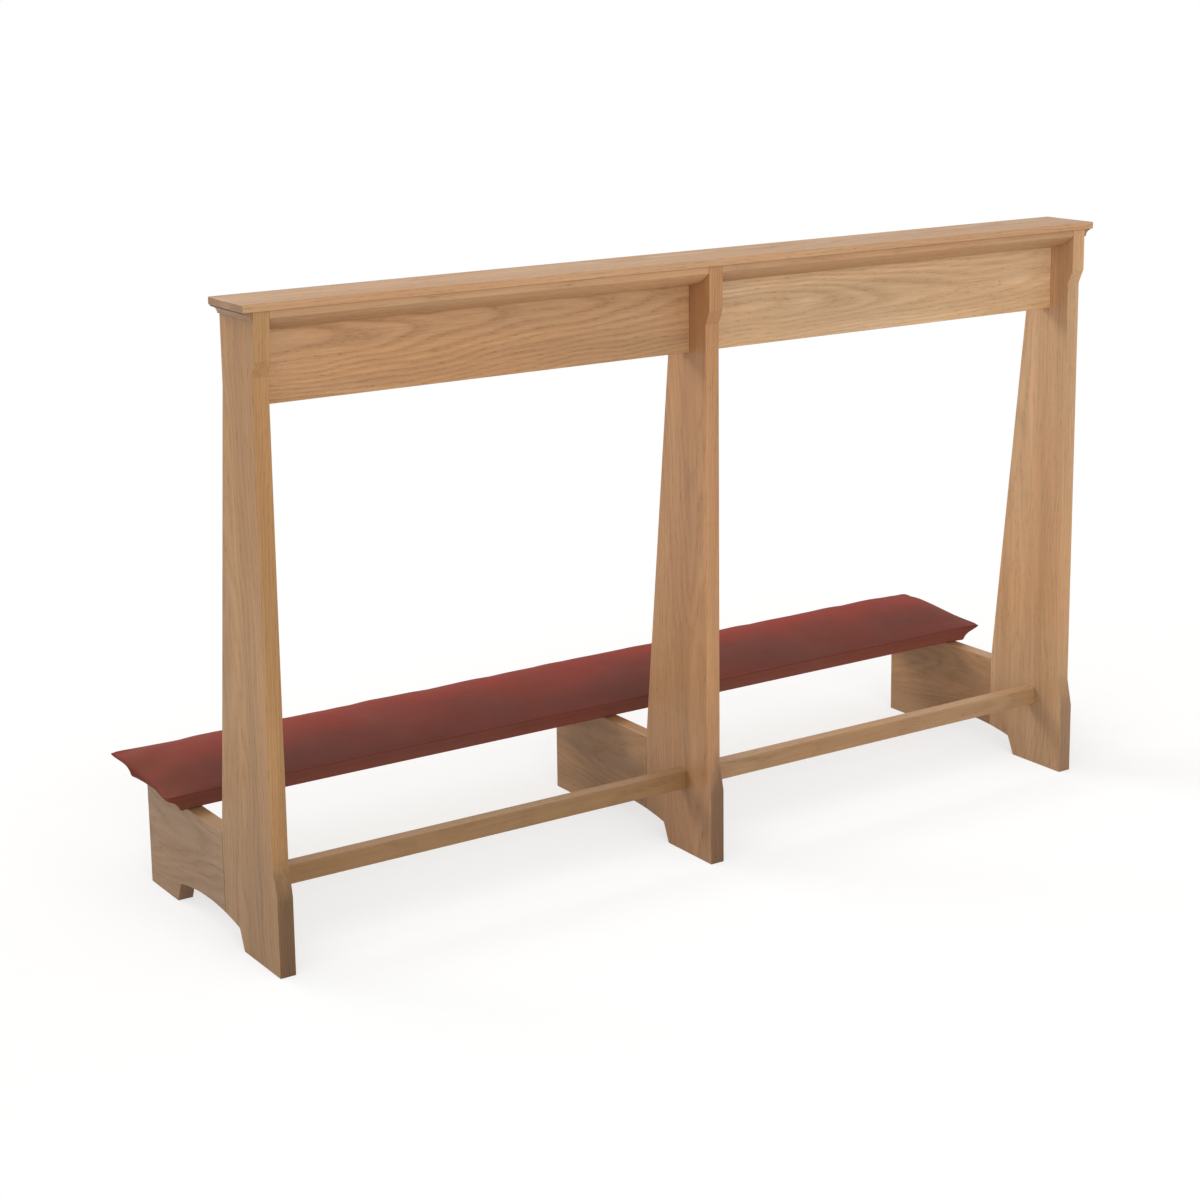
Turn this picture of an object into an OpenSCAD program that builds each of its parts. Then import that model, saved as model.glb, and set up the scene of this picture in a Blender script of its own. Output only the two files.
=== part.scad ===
// Two-place church kneeling desk with one long padded kneeler.
// The row of bays runs along X and the front of the uprights faces -Y.
// The origin is on the floor, under the middle of the whole object.

/* [Overall] */
// Height from the floor to the top of the cap rail
overall_h = 850; // [780:5:920]
// Distance between the centre planes of neighbouring side frames
bay_pitch = 665; // [520:5:760]
// Depth of a side frame on the floor
frame_d = 400; // [380:5:440]
// Thickness of the boards of the side frames
board_t = 22; // [20:1:28]

/* [Uprights] */
// Depth of an upright at its head
head_d = 94; // [86:1:110]
// Depth of an upright at the ledge
waist_d = 158; // [140:1:170]
// Height of the head that stands forward under the cap
head_h = 60; // [40:1:90]
// Height of the ramp from the head back to the shaft
head_ramp_h = 20; // [8:1:40]
// Length of the upright's back edge that runs straight down from the cap
straight_back_h = 100; // [60:1:140]
// How far the shaft stands back behind the head and the foot
shaft_recess = 9; // [3:1:14]
// Height of the foot's forward face
foot_face_h = 105; // [90:1:130]
// Height of the ramp from the shaft out to the foot
foot_ramp_h = 40; // [20:1:60]

/* [Base] */
// Height of the ledge that carries the kneeler
ledge_h = 145; // [135:1:165]
// Length of the front foot on the floor
front_foot_d = 104; // [90:1:115]
// Length of the rear foot on the floor
rear_foot_d = 88; // [70:1:105]
// Height of the arch where its curve springs
arch_h = 28; // [20:1:34]
// Rise of the arch above its springing
arch_rise = 10; // [5:1:14]
// Horizontal run of the slanted ends of the arch
arch_slant = 12; // [6:1:16]

/* [Cap rail] */
// Thickness of the cap rail
cap_t = 10; // [9:0.5:18]
// How far the cap passes the outer side frames
cap_end_overhang = 14; // [8:1:20]
// How far the cap passes the front of the heads
cap_front_overhang = 3; // [1:1:8]
// How far the end mould stays back behind the cap's end
end_mould_set_back = 2; // [1:0.5:4]
// Height of the end mould under the cap
end_mould_h = 11; // [8:1:16]
// Height of the end mould's upright edge above its cove
end_mould_lip_h = 2; // [1:0.5:3]

/* [Aprons and bed moulds] */
// Height of an apron board
apron_h = 121; // [95:1:140]
// Thickness of an apron board
apron_t = 20; // [16:1:22]
// Distance of the apron's face behind the front of the heads
apron_set_back = 46; // [38:1:50]
// Height of the bed mould under the cap
mould_h = 28; // [20:1:34]
// Distance of the bed mould's upper edge behind the front of the heads
mould_set_back = 0.5; // [0.5:0.5:8]
// Height of the bed mould's upright face above its rounded underside
mould_face_h = 9; // [6:0.5:12]
// Depth of the bed mould's lower edge in front of the apron
mould_foot_d = 8; // [4:1:12]
// How far the bed mould's underside swells out of a straight slope
mould_bulge = 3.5; // [2:0.5:3.5]

/* [Stretchers] */
// Height of a stretcher
stretcher_h = 26; // [22:1:40]
// Thickness of a stretcher
stretcher_t = 20; // [18:1:26]
// Distance of the stretcher's face behind the front of the feet
stretcher_set_back = 58; // [45:1:65]
// Height of the stretcher's underside above the floor
stretcher_floor_gap = 96; // [70:1:102]

/* [Kneeler] */
// How far the pad passes the outer side frames
pad_end_overhang = 38; // [34:1:50]
// Gap between the back of the uprights and the front edge of the pad
pad_gap = 92; // [80:1:105]
// Depth of the pad from its front edge to its rear edge
pad_d = 186; // [175:1:205]
// Height of the pad's front edge above the ledge
front_edge_h = 24; // [20:1:30]
// Height of the pad's rear edge above the ledge
rear_edge_h = 38; // [30:1:42]
// Height of the crown above the pad's edges
crown_h = 28; // [18:1:32]
// How far the sides are drawn in between the corners
drawn_in = 5; // [3:1:9]
// How far the ends are drawn in under their edge
end_undercut = 26; // [16:1:28]
// How far the long sides are drawn in under their edge
side_undercut = 9; // [5:1:12]
// Thickness of the cover with its lining
cover_t = 2.5; // [2:0.5:4]
// Gap between the base board and the cover along its edges
board_edge_gap = 3; // [2:0.5:5]
// Thickness of the base board under the foam
base_board_t = 12; // [9:1:14]

/* [Joints] */
// Length of the stub tenons of aprons and stretchers
tenon_l = 8; // [5:0.5:9]
// Shoulder all round a stub tenon
tenon_shoulder = 4; // [3:0.5:5]
// Radius of the dowels
dowel_r = 4; // [3:0.5:5]
// Depth that a frame dowel goes into each board
frame_dowel_depth = 24; // [16:1:28]
// Depth that a cap dowel goes into a head
cap_dowel_depth = 24; // [16:1:30]
// Thickness of wood left over a cap dowel
cap_dowel_skin = 4; // [3:0.5:6]
// Radius of the shank of a kneeler screw
screw_r = 2.2; // [1.8:0.1:2.8]
// Radius of the head of a kneeler screw
screw_head_r = 4.4; // [4:0.1:5.5]
// Length of a kneeler screw
screw_l = 45; // [35:1:60]

/* [Hidden] */
$fn = 64;

// Clearance of tenons and dowels in their holes, and the overrun of cuts
joint_gap = 0.05;
overrun = 1;

// Places along X: left, middle and right side frame
frame_xs = [-bay_pitch, 0, bay_pitch];
frames_l = 2 * bay_pitch + board_t;
bay_clear = bay_pitch - board_t;
bay_xs = [-bay_pitch / 2, bay_pitch / 2];

// Heights
head_top = overall_h - cap_t;
head_bottom = head_top - head_h;
shaft_top = head_bottom - head_ramp_h;
straight_back_z = head_top - straight_back_h;
shaft_bottom = foot_face_h + foot_ramp_h;
apron_z = head_top - apron_h;
arch_top = arch_h + arch_rise;

// Depths, measured from the front of the heads and feet
apron_y = apron_set_back;
apron_back_y = apron_set_back + apron_t;
pad_front_y = waist_d + pad_gap;
pad_rear_y = pad_front_y + pad_d;
pad_mid_y = (pad_front_y + pad_rear_y) / 2;

// The front of the cap and the rear of the pad are the object's limits along Y
y_shift = -(pad_rear_y - cap_front_overhang) / 2;

// Arch under a side frame, springing from arch_front_y to arch_rear_y
arch_front_y = front_foot_d + arch_slant;
arch_rear_y = frame_d - rear_foot_d - arch_slant;
arch_mid_y = (arch_front_y + arch_rear_y) / 2;
arch_half = (arch_rear_y - arch_front_y) / 2;
arch_r = (arch_half * arch_half + arch_rise * arch_rise) / (2 * arch_rise);

// Cap rail
cap_l = frames_l + 2 * cap_end_overhang;
cap_d = head_d + cap_front_overhang;
cap_dowel_rise = cap_t - cap_dowel_skin;

// End mould: how far it stands out from the outer face of the head
end_mould_w = cap_end_overhang - end_mould_set_back;
end_mould_cove_r = min(end_mould_w, end_mould_h - end_mould_lip_h);

// Underside of the bed mould: an arc from its upright face to its foot
mould_top_point = [mould_set_back, head_top - mould_face_h];
mould_foot_point = [apron_y - mould_foot_d, head_top - mould_h];
mould_chord = mould_foot_point - mould_top_point;
mould_half = norm(mould_chord) / 2;
mould_r = (mould_half * mould_half + mould_bulge * mould_bulge) / (2 * mould_bulge);
mould_out = [mould_chord[1], -mould_chord[0]] / norm(mould_chord);
mould_centre = (mould_top_point + mould_foot_point) / 2 - mould_out * (mould_r - mould_bulge);

// Dowels of a side frame stand one above the other between arch and ledge
frame_dowel_shares = [0.2, 0.5, 0.8];
frame_dowel_zs = [for (s = frame_dowel_shares) arch_top + s * (ledge_h - arch_top)];
cap_dowel_ys = [apron_y / 2, (apron_back_y + head_d) / 2];

// Pad: half sizes, base board and the steps of its surface
pad_a = frames_l / 2 + pad_end_overhang;
pad_b = pad_d / 2;
base_half_l = pad_a - end_undercut - drawn_in - cover_t - board_edge_gap;
base_half_d = pad_b - side_undercut - drawn_in - cover_t - board_edge_gap;
base_top = ledge_h + base_board_t;
pad_x_shares = [-1, -0.99, -0.975, -0.95, -0.91, -0.85, -0.76, -0.62, -0.44, -0.22, 0,
                0.22, 0.44, 0.62, 0.76, 0.85, 0.91, 0.95, 0.975, 0.99, 1];
pad_y_shares = [-1, -0.9, -0.72, -0.5, -0.25, 0, 0.25, 0.5, 0.72, 0.9, 1];
undercut_shares = [0.85, 1];
side_zs = [base_top, ledge_h];

// Screws stand on the part of each ledge that the base board covers
screw_y_shares = [0.25, 0.75];
base_front_y = pad_mid_y - base_half_d;
screw_ys = [for (s = screw_y_shares) base_front_y + s * (frame_d - base_front_y)];
screw_slot_w = screw_r / 2;

// Moves a shape given by its distance behind the heads to its place in the object
module placed() {
    translate([0, y_shift, 0]) children();
}

// A board of the side frame: an outline given as [distance from front, height]
module side_board(points) {
    translate([-board_t / 2, 0, 0])
        rotate([90, 0, 90])
            linear_extrude(board_t) polygon(points);
}

// The open arch under a side frame, long enough to cut both of its boards
module arch_cut() {
    cut_t = board_t + 2 * overrun;
    translate([-cut_t / 2, 0, 0])
        rotate([90, 0, 90])
            linear_extrude(cut_t)
                polygon([[front_foot_d - arch_slant * overrun / arch_h, -overrun],
                         [frame_d - rear_foot_d + arch_slant * overrun / arch_h, -overrun],
                         [arch_rear_y, arch_h],
                         [arch_front_y, arch_h]]);
    intersection() {
        translate([-cut_t / 2, arch_mid_y, arch_top - arch_r])
            rotate([0, 90, 0]) cylinder(h = cut_t, r = arch_r, $fn = 360);
        translate([-cut_t / 2, arch_front_y, arch_h - overrun / 10])
            cube([cut_t, 2 * arch_half, 2 * arch_rise]);
    }
}

// A mortise for a stub tenon of size d by h, on the face of a board at x
module mortise(x, y, z, d, h) {
    l = tenon_l + joint_gap;
    translate([x - l, y + tenon_shoulder - joint_gap, z + tenon_shoulder - joint_gap])
        cube([2 * l, d - 2 * tenon_shoulder + 2 * joint_gap, h - 2 * tenon_shoulder + 2 * joint_gap]);
}

// Mortises on one face of an upright, at x, for the apron and the stretcher
module face_mortises(x) {
    mortise(x, apron_y, apron_z, apron_t, apron_h);
    mortise(x, stretcher_set_back, stretcher_floor_gap, stretcher_t, stretcher_h);
}

// Bores for the frame dowels, in both boards at once
module frame_dowel_bores() {
    for (z = frame_dowel_zs)
        translate([0, waist_d - frame_dowel_depth - overrun, z])
            rotate([-90, 0, 0])
                cylinder(h = 2 * (frame_dowel_depth + overrun), r = dowel_r + joint_gap);
}

// Upright of the side frame at x; sides lists the faces that carry rails
module upright(x, sides) {
    translate([x, 0, 0])
        difference() {
            side_board([[0, 0], [0, foot_face_h], [shaft_recess, shaft_bottom],
                        [shaft_recess, shaft_top], [0, head_bottom], [0, head_top],
                        [head_d, head_top], [head_d, straight_back_z],
                        [waist_d, ledge_h], [waist_d, 0]]);
            arch_cut();
            frame_dowel_bores();
            for (s = sides) face_mortises(s * board_t / 2);
            for (y = cap_dowel_ys)
                translate([0, y, head_top - cap_dowel_depth - overrun])
                    cylinder(h = cap_dowel_depth + 2 * overrun, r = dowel_r + joint_gap);
        }
}

// Foot block behind the upright of the side frame at x
module foot_block(x) {
    translate([x, 0, 0])
        difference() {
            side_board([[waist_d, 0], [frame_d, 0], [frame_d, ledge_h], [waist_d, ledge_h]]);
            arch_cut();
            frame_dowel_bores();
            for (y = screw_ys)
                translate([0, y, base_top - screw_l - overrun])
                    cylinder(h = screw_l + overrun, r = screw_r + joint_gap);
        }
}

module frame_dowels(x) {
    for (z = frame_dowel_zs)
        translate([x, waist_d - frame_dowel_depth, z])
            rotate([-90, 0, 0]) cylinder(h = 2 * frame_dowel_depth, r = dowel_r);
}

module left_upright() {
    color([0.74, 0.57, 0.40]) placed() upright(frame_xs[0], [1]);
}

module middle_upright() {
    color([0.74, 0.57, 0.40]) placed() upright(frame_xs[1], [-1, 1]);
}

module right_upright() {
    color([0.74, 0.57, 0.40]) placed() upright(frame_xs[2], [-1]);
}

module left_foot_block() {
    color([0.66, 0.51, 0.37]) placed() foot_block(frame_xs[0]);
}

module middle_foot_block() {
    color([0.66, 0.51, 0.37]) placed() foot_block(frame_xs[1]);
}

module right_foot_block() {
    color([0.66, 0.51, 0.37]) placed() foot_block(frame_xs[2]);
}

module left_frame_dowels() {
    color([0.80, 0.68, 0.50]) placed() frame_dowels(frame_xs[0]);
}

module middle_frame_dowels() {
    color([0.80, 0.68, 0.50]) placed() frame_dowels(frame_xs[1]);
}

module right_frame_dowels() {
    color([0.80, 0.68, 0.50]) placed() frame_dowels(frame_xs[2]);
}

// One flat board over the three heads
module cap_rail() {
    color([0.78, 0.62, 0.46]) placed()
        difference() {
            translate([-cap_l / 2, -cap_front_overhang, head_top]) cube([cap_l, cap_d, cap_t]);
            for (x = frame_xs, y = cap_dowel_ys)
                translate([x, y, head_top - overrun])
                    cylinder(h = cap_dowel_rise + overrun, r = dowel_r + joint_gap);
        }
}

module cap_dowels() {
    color([0.80, 0.68, 0.50]) placed()
        for (x = frame_xs, y = cap_dowel_ys)
            translate([x, y, head_top - cap_dowel_depth])
                cylinder(h = cap_dowel_depth + cap_dowel_rise, r = dowel_r);
}

// A rail of size d by h between two side frames, with a stub tenon at each end
module tenoned_rail(x, y, z, d, h) {
    translate([x - bay_clear / 2, y, z]) cube([bay_clear, d, h]);
    translate([x - bay_clear / 2 - tenon_l, y + tenon_shoulder, z + tenon_shoulder])
        cube([bay_clear + 2 * tenon_l, d - 2 * tenon_shoulder, h - 2 * tenon_shoulder]);
}

module left_apron() {
    color([0.80, 0.65, 0.48]) placed() tenoned_rail(bay_xs[0], apron_y, apron_z, apron_t, apron_h);
}

module right_apron() {
    color([0.84, 0.70, 0.53]) placed() tenoned_rail(bay_xs[1], apron_y, apron_z, apron_t, apron_h);
}

// Moulding under the cap in front of the apron, with an upright face and a rounded underside
module bed_mould(x) {
    translate([x - bay_clear / 2, 0, 0])
        intersection() {
            translate([0, mould_set_back, head_top - mould_h])
                cube([bay_clear, apron_y - mould_set_back, mould_h]);
            translate([-overrun, mould_centre[0], mould_centre[1]])
                rotate([0, 90, 0]) cylinder(h = bay_clear + 2 * overrun, r = mould_r, $fn = 360);
        }
}

module left_bed_mould() {
    color([0.72, 0.55, 0.39]) placed() bed_mould(bay_xs[0]);
}

module right_bed_mould() {
    color([0.72, 0.55, 0.39]) placed() bed_mould(bay_xs[1]);
}

// Moulding under the end of the cap, on the outer face of a head; side is -1 or 1
module end_mould(side) {
    mirror([side < 0 ? 1 : 0, 0, 0])
        translate([frames_l / 2, 0, head_top - end_mould_h])
            difference() {
                cube([end_mould_w, head_d, end_mould_h]);
                translate([end_mould_w, -overrun, end_mould_h - end_mould_lip_h - end_mould_cove_r])
                    rotate([-90, 0, 0])
                        cylinder(h = head_d + 2 * overrun, r = end_mould_cove_r);
            }
}

module left_end_mould() {
    color([0.72, 0.55, 0.39]) placed() end_mould(-1);
}

module right_end_mould() {
    color([0.72, 0.55, 0.39]) placed() end_mould(1);
}

module left_stretcher() {
    color([0.75, 0.58, 0.41]) placed()
        tenoned_rail(bay_xs[0], stretcher_set_back, stretcher_floor_gap, stretcher_t, stretcher_h);
}

module right_stretcher() {
    color([0.75, 0.58, 0.41]) placed()
        tenoned_rail(bay_xs[1], stretcher_set_back, stretcher_floor_gap, stretcher_t, stretcher_h);
}

// A point of the pad's upper surface, inset from the outside of the cover;
// u and v run from -1 to 1 along X and Y
function pad_top(u, v, inset) =
    let (a = pad_a - inset,
         b = pad_b - inset,
         waist_x = drawn_in * (1 - pow(abs(v), 3)) * pow(abs(u), 8),
         waist_y = drawn_in * (1 - pow(abs(u), 24)) * pow(abs(v), 4),
         edge = front_edge_h + (rear_edge_h - front_edge_h) * (v + 1) / 2,
         swell = crown_h * (1 - pow(abs(u), 24)) * (1 - pow(abs(v), 2.6)))
    [u * a - sign(u) * waist_x,
     pad_mid_y + v * b - sign(v) * waist_y,
     ledge_h + edge + swell - inset];

// A point of the side at the given level below the edge, drawn in by a share of the undercuts
function pad_side(u, v, level, inset) =
    let (p = pad_top(u, v, inset))
    [p[0] - sign(u) * pow(abs(u), 8) * end_undercut * undercut_shares[level],
     p[1] - sign(v) * pow(abs(v), 4) * side_undercut * undercut_shares[level],
     side_zs[level]];

// The edge of the pad's surface, once round against the clock seen from above
pad_rim = concat([for (u = pad_x_shares) [u, -1]],
                 [for (v = pad_y_shares) if (v > -1) [1, v]],
                 [for (i = [len(pad_x_shares) - 2 : -1 : 0]) [pad_x_shares[i], 1]],
                 [for (i = [len(pad_y_shares) - 2 : -1 : 1]) [-1, pad_y_shares[i]]]);
nu = len(pad_x_shares);
nv = len(pad_y_shares);
nr = len(pad_rim);
rim_ids = concat([for (i = [0 : nu - 1]) i],
                 [for (j = [1 : nv - 1]) j * nu + nu - 1],
                 [for (i = [nu - 2 : -1 : 0]) (nv - 1) * nu + i],
                 [for (j = [nv - 2 : -1 : 1]) j * nu]);

// Points of the pad's top and of its side down to the given number of levels
function shell_points(inset, levels) =
    concat([for (v = pad_y_shares, u = pad_x_shares) pad_top(u, v, inset)],
           [for (k = [0 : levels - 1], q = pad_rim) pad_side(q[0], q[1], k, inset)]);

// Number of the point at place i of ring k, where ring 0 is the edge itself
function ring_id(k, i) = k == 0 ? rim_ids[i % nr] : nu * nv + (k - 1) * nr + i % nr;

// Triangles of the top and the side, numbered from the given first point
function shell_faces(first, levels) =
    concat([for (j = [0 : nv - 2], i = [0 : nu - 2])
                [first + j * nu + i, first + (j + 1) * nu + i, first + (j + 1) * nu + i + 1]],
           [for (j = [0 : nv - 2], i = [0 : nu - 2])
                [first + j * nu + i, first + (j + 1) * nu + i + 1, first + j * nu + i + 1]],
           [for (k = [0 : levels - 1], i = [0 : nr - 1])
                [first + ring_id(k, i), first + ring_id(k, i + 1), first + ring_id(k + 1, i + 1)]],
           [for (k = [0 : levels - 1], i = [0 : nr - 1])
                [first + ring_id(k, i), first + ring_id(k + 1, i + 1), first + ring_id(k + 1, i)]]);

// The same triangles seen from the other side
function turned(faces) = [for (f = faces) [f[0], f[2], f[1]]];

// Foam on the base board: crowned top, drawn-in sides and a flat underside
module foam_form() {
    points = shell_points(cover_t, 1);
    middle = len(points);
    polyhedron(points = concat(points, [[0, pad_mid_y, base_top]]),
               faces = concat(shell_faces(0, 1),
                              [for (i = [0 : nr - 1]) [ring_id(1, i), ring_id(1, i + 1), middle]]));
}

// Cover over the foam and down the edges of the base board, of even thickness
module cover_form() {
    outer = shell_points(0, 2);
    inner = shell_points(cover_t, 2);
    n = len(outer);
    polyhedron(points = concat(outer, inner),
               faces = concat(shell_faces(0, 2), turned(shell_faces(n, 2)),
                              [for (i = [0 : nr - 1])
                                   [ring_id(2, i), ring_id(2, i + 1), n + ring_id(2, i + 1)]],
                              [for (i = [0 : nr - 1])
                                   [ring_id(2, i), n + ring_id(2, i + 1), n + ring_id(2, i)]]));
}

module base_board_block() {
    translate([-base_half_l, pad_mid_y - base_half_d, ledge_h])
        cube([2 * base_half_l, 2 * base_half_d, base_board_t]);
}

// Screw with its countersunk head flush with the base board, or a cut for it that
// has the gap round it and goes on beyond both of its ends by the given length
module screw_form(gap, beyond) {
    head_l = screw_head_r - screw_r;
    translate([0, 0, base_top - screw_l - beyond])
        cylinder(h = screw_l - head_l + beyond, r = screw_r + gap);
    translate([0, 0, base_top - head_l])
        cylinder(h = head_l + beyond, r1 = screw_r + gap, r2 = screw_head_r + gap + beyond);
}

module kneeler_base_board() {
    color([0.78, 0.66, 0.48]) placed()
        difference() {
            base_board_block();
            for (x = frame_xs, y = screw_ys) translate([x, y, 0]) screw_form(joint_gap, overrun);
        }
}

module kneeler_foam() {
    color([0.93, 0.88, 0.70]) placed() foam_form();
}

module kneeler_cover() {
    color([0.50, 0.17, 0.17]) placed() cover_form();
}

module kneeler_screws() {
    color([0.72, 0.66, 0.48]) placed()
        for (x = frame_xs, y = screw_ys)
            translate([x, y, 0])
                difference() {
                    screw_form(0, 0);
                    translate([-screw_head_r, -screw_slot_w / 2, base_top - screw_slot_w])
                        cube([2 * screw_head_r, screw_slot_w, screw_slot_w + overrun]);
                }
}

left_upright();
middle_upright();
right_upright();
left_foot_block();
middle_foot_block();
right_foot_block();
left_frame_dowels();
middle_frame_dowels();
right_frame_dowels();
cap_rail();
cap_dowels();
left_apron();
right_apron();
left_bed_mould();
right_bed_mould();
left_end_mould();
right_end_mould();
left_stretcher();
right_stretcher();
kneeler_base_board();
kneeler_foam();
kneeler_cover();
kneeler_screws();
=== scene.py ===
"""Looks of the church kneeling desk: oak frames, cap, aprons and stretchers, and a long red kneeler pad.

The CAD's boards stay as they are and get oak materials and eased edges. The foam and its cover are
replaced by one cloth-simulated pad. Lengths are in metres, in the CAD's frame.
"""

import math

import bpy
import numpy as np
from mathutils import Matrix, Vector, noise
from mathutils.bvhtree import BVHTree


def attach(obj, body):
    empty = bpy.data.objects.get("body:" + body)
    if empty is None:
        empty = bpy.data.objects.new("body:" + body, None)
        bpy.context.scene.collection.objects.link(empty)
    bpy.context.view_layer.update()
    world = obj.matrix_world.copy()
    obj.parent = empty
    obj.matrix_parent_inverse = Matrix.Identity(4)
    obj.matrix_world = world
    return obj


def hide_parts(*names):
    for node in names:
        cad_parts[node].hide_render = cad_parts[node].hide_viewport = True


# The pad's form, as in the CAD: its half length and depth and its middle, the heights of the ledge and of the
# base board's top, the board's half length and depth, the height of the sewn edge above the ledge at the front
# and rear, the crown, how far the top draws in between its corners, and the undercut of ends and long sides
PAD_A, PAD_B, PAD_Y = 0.714, 0.093, 0.1265
LEDGE_Z, BOARD_TOP_Z = 0.145, 0.157
BOARD_A, BOARD_B = 0.6775, 0.0735
FRONT_EDGE, REAR_EDGE, CROWN = 0.024, 0.038, 0.028
DRAWN_IN, END_UNDERCUT, SIDE_UNDERCUT = 0.005, 0.026, 0.009

# The pad's mesh: points along and across, the room round the base board, the height of its underside, and
# the rows of its sides as shares of the way down and of the undercut
PAD_POINTS_ALONG, PAD_POINTS_ACROSS = 205, 29
BOARD_ROOM = 0.0008
PAD_FLOOR_Z = LEDGE_Z + 0.0006
PAD_SIDE = (
    (0.12, 0.10),
    (0.28, 0.36),
    (0.45, 0.66),
    (0.62, 0.84),
    (0.80, 0.94),
    (0.94, 0.99),
    (1.0, 1.06),
)

# The simulation: the height left for the top to swell into, the farthest that a point may move, the frames,
# and how often the movement is evened out between neighbours
PAD_SWELL, PAD_SWELL_MOST = 0.004, 0.009
SWELL_FRAMES, SWELL_EVENINGS = 20, 14

# The unevenness that kneeling leaves, as the height of its broad and small swells
BROAD_SWELL, SMALL_SWELL = 0.0012, 0.0004

# The distance between threads in the cover and in its sewn edge
WEAVE_PITCH, SEAM_PITCH = 0.0013, 0.0011

# The sewn edge: its radius and its height over the cloth, the points along and across, and how often these are
# evened out
SEAM_RADIUS, SEAM_LIFT = 0.0011, 0.0002
SEAM_POINTS_ALONG, SEAM_POINTS_ACROSS, SEAM_EVENINGS = 181, 29, 3

# The bevel on the edges of oak boards and of the plywood
OAK_BEVEL, PLYWOOD_BEVEL = 0.0011, 0.0006

# Where the three frames stand along the desk
FRAME_X = {"left": -0.665, "middle": 0.0, "right": 0.665}

# The floor's half width, the camera's focal length in widths of its picture, and its sensor's width in mm
FLOOR_HALF = 9.0
LENS_PER_WIDTH = 2404.9 / 1200
SENSOR_WIDTH = 36


def srgb(r, g, b):
    """An 8-bit display colour as Blender's linear colour."""
    linear = [
        c / 12.92 if c <= 0.04045 else ((c + 0.055) / 1.055) ** 2.4
        for c in (r / 255, g / 255, b / 255)
    ]
    return (*linear, 1.0)


# ---------------------------------------------------------------- camera, light and floor


def make_camera():
    """The photograph's viewing place and angle, with the picture's frame shifted down a little."""
    place = Vector((-1.881, -2.7816, 1.2495))
    yaw, pitch, roll = (math.radians(a) for a in (33.416, 11.826, -0.732))
    forward = Vector(
        (
            math.sin(yaw) * math.cos(pitch),
            math.cos(yaw) * math.cos(pitch),
            -math.sin(pitch),
        )
    )
    level = Vector((math.cos(yaw), -math.sin(yaw), 0))
    plumb = level.cross(forward)
    right = level * math.cos(roll) + plumb * math.sin(roll)
    up = plumb * math.cos(roll) - level * math.sin(roll)
    data = bpy.data.cameras.new("camera")
    data.sensor_width = SENSOR_WIDTH
    data.lens = SENSOR_WIDTH * LENS_PER_WIDTH
    data.shift_y = -0.12
    camera = bpy.data.objects.new("camera", data)
    bpy.context.scene.collection.objects.link(camera)
    turn = Matrix((right, up, -forward)).transposed().to_4x4()
    camera.matrix_world = Matrix.Translation(place) @ turn
    bpy.context.scene.camera = camera


def area_light(name, place, target, size, power, colour):
    data = bpy.data.lights.new(name, "AREA")
    data.shape = "RECTANGLE"
    data.size, data.size_y = size
    data.energy = power
    data.color = colour
    light = bpy.data.objects.new(name, data)
    bpy.context.scene.collection.objects.link(light)
    light.location = place
    aim = Vector(target) - Vector(place)
    light.rotation_euler = aim.to_track_quat("-Z", "Y").to_euler()


def make_lights():
    """A soft key light from above and behind, and a wide one from the photograph's side."""
    area_light("key", (-1.4, 2.8, 2.9), (0.0, 0.0, 0.35), (2.4, 1.6), 85, (1.0, 0.985, 0.96))
    area_light("front", (-0.9, -4.2, 1.3), (0.0, 0.0, 0.5), (3.2, 2.0), 56, (1.0, 0.99, 0.98))


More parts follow.
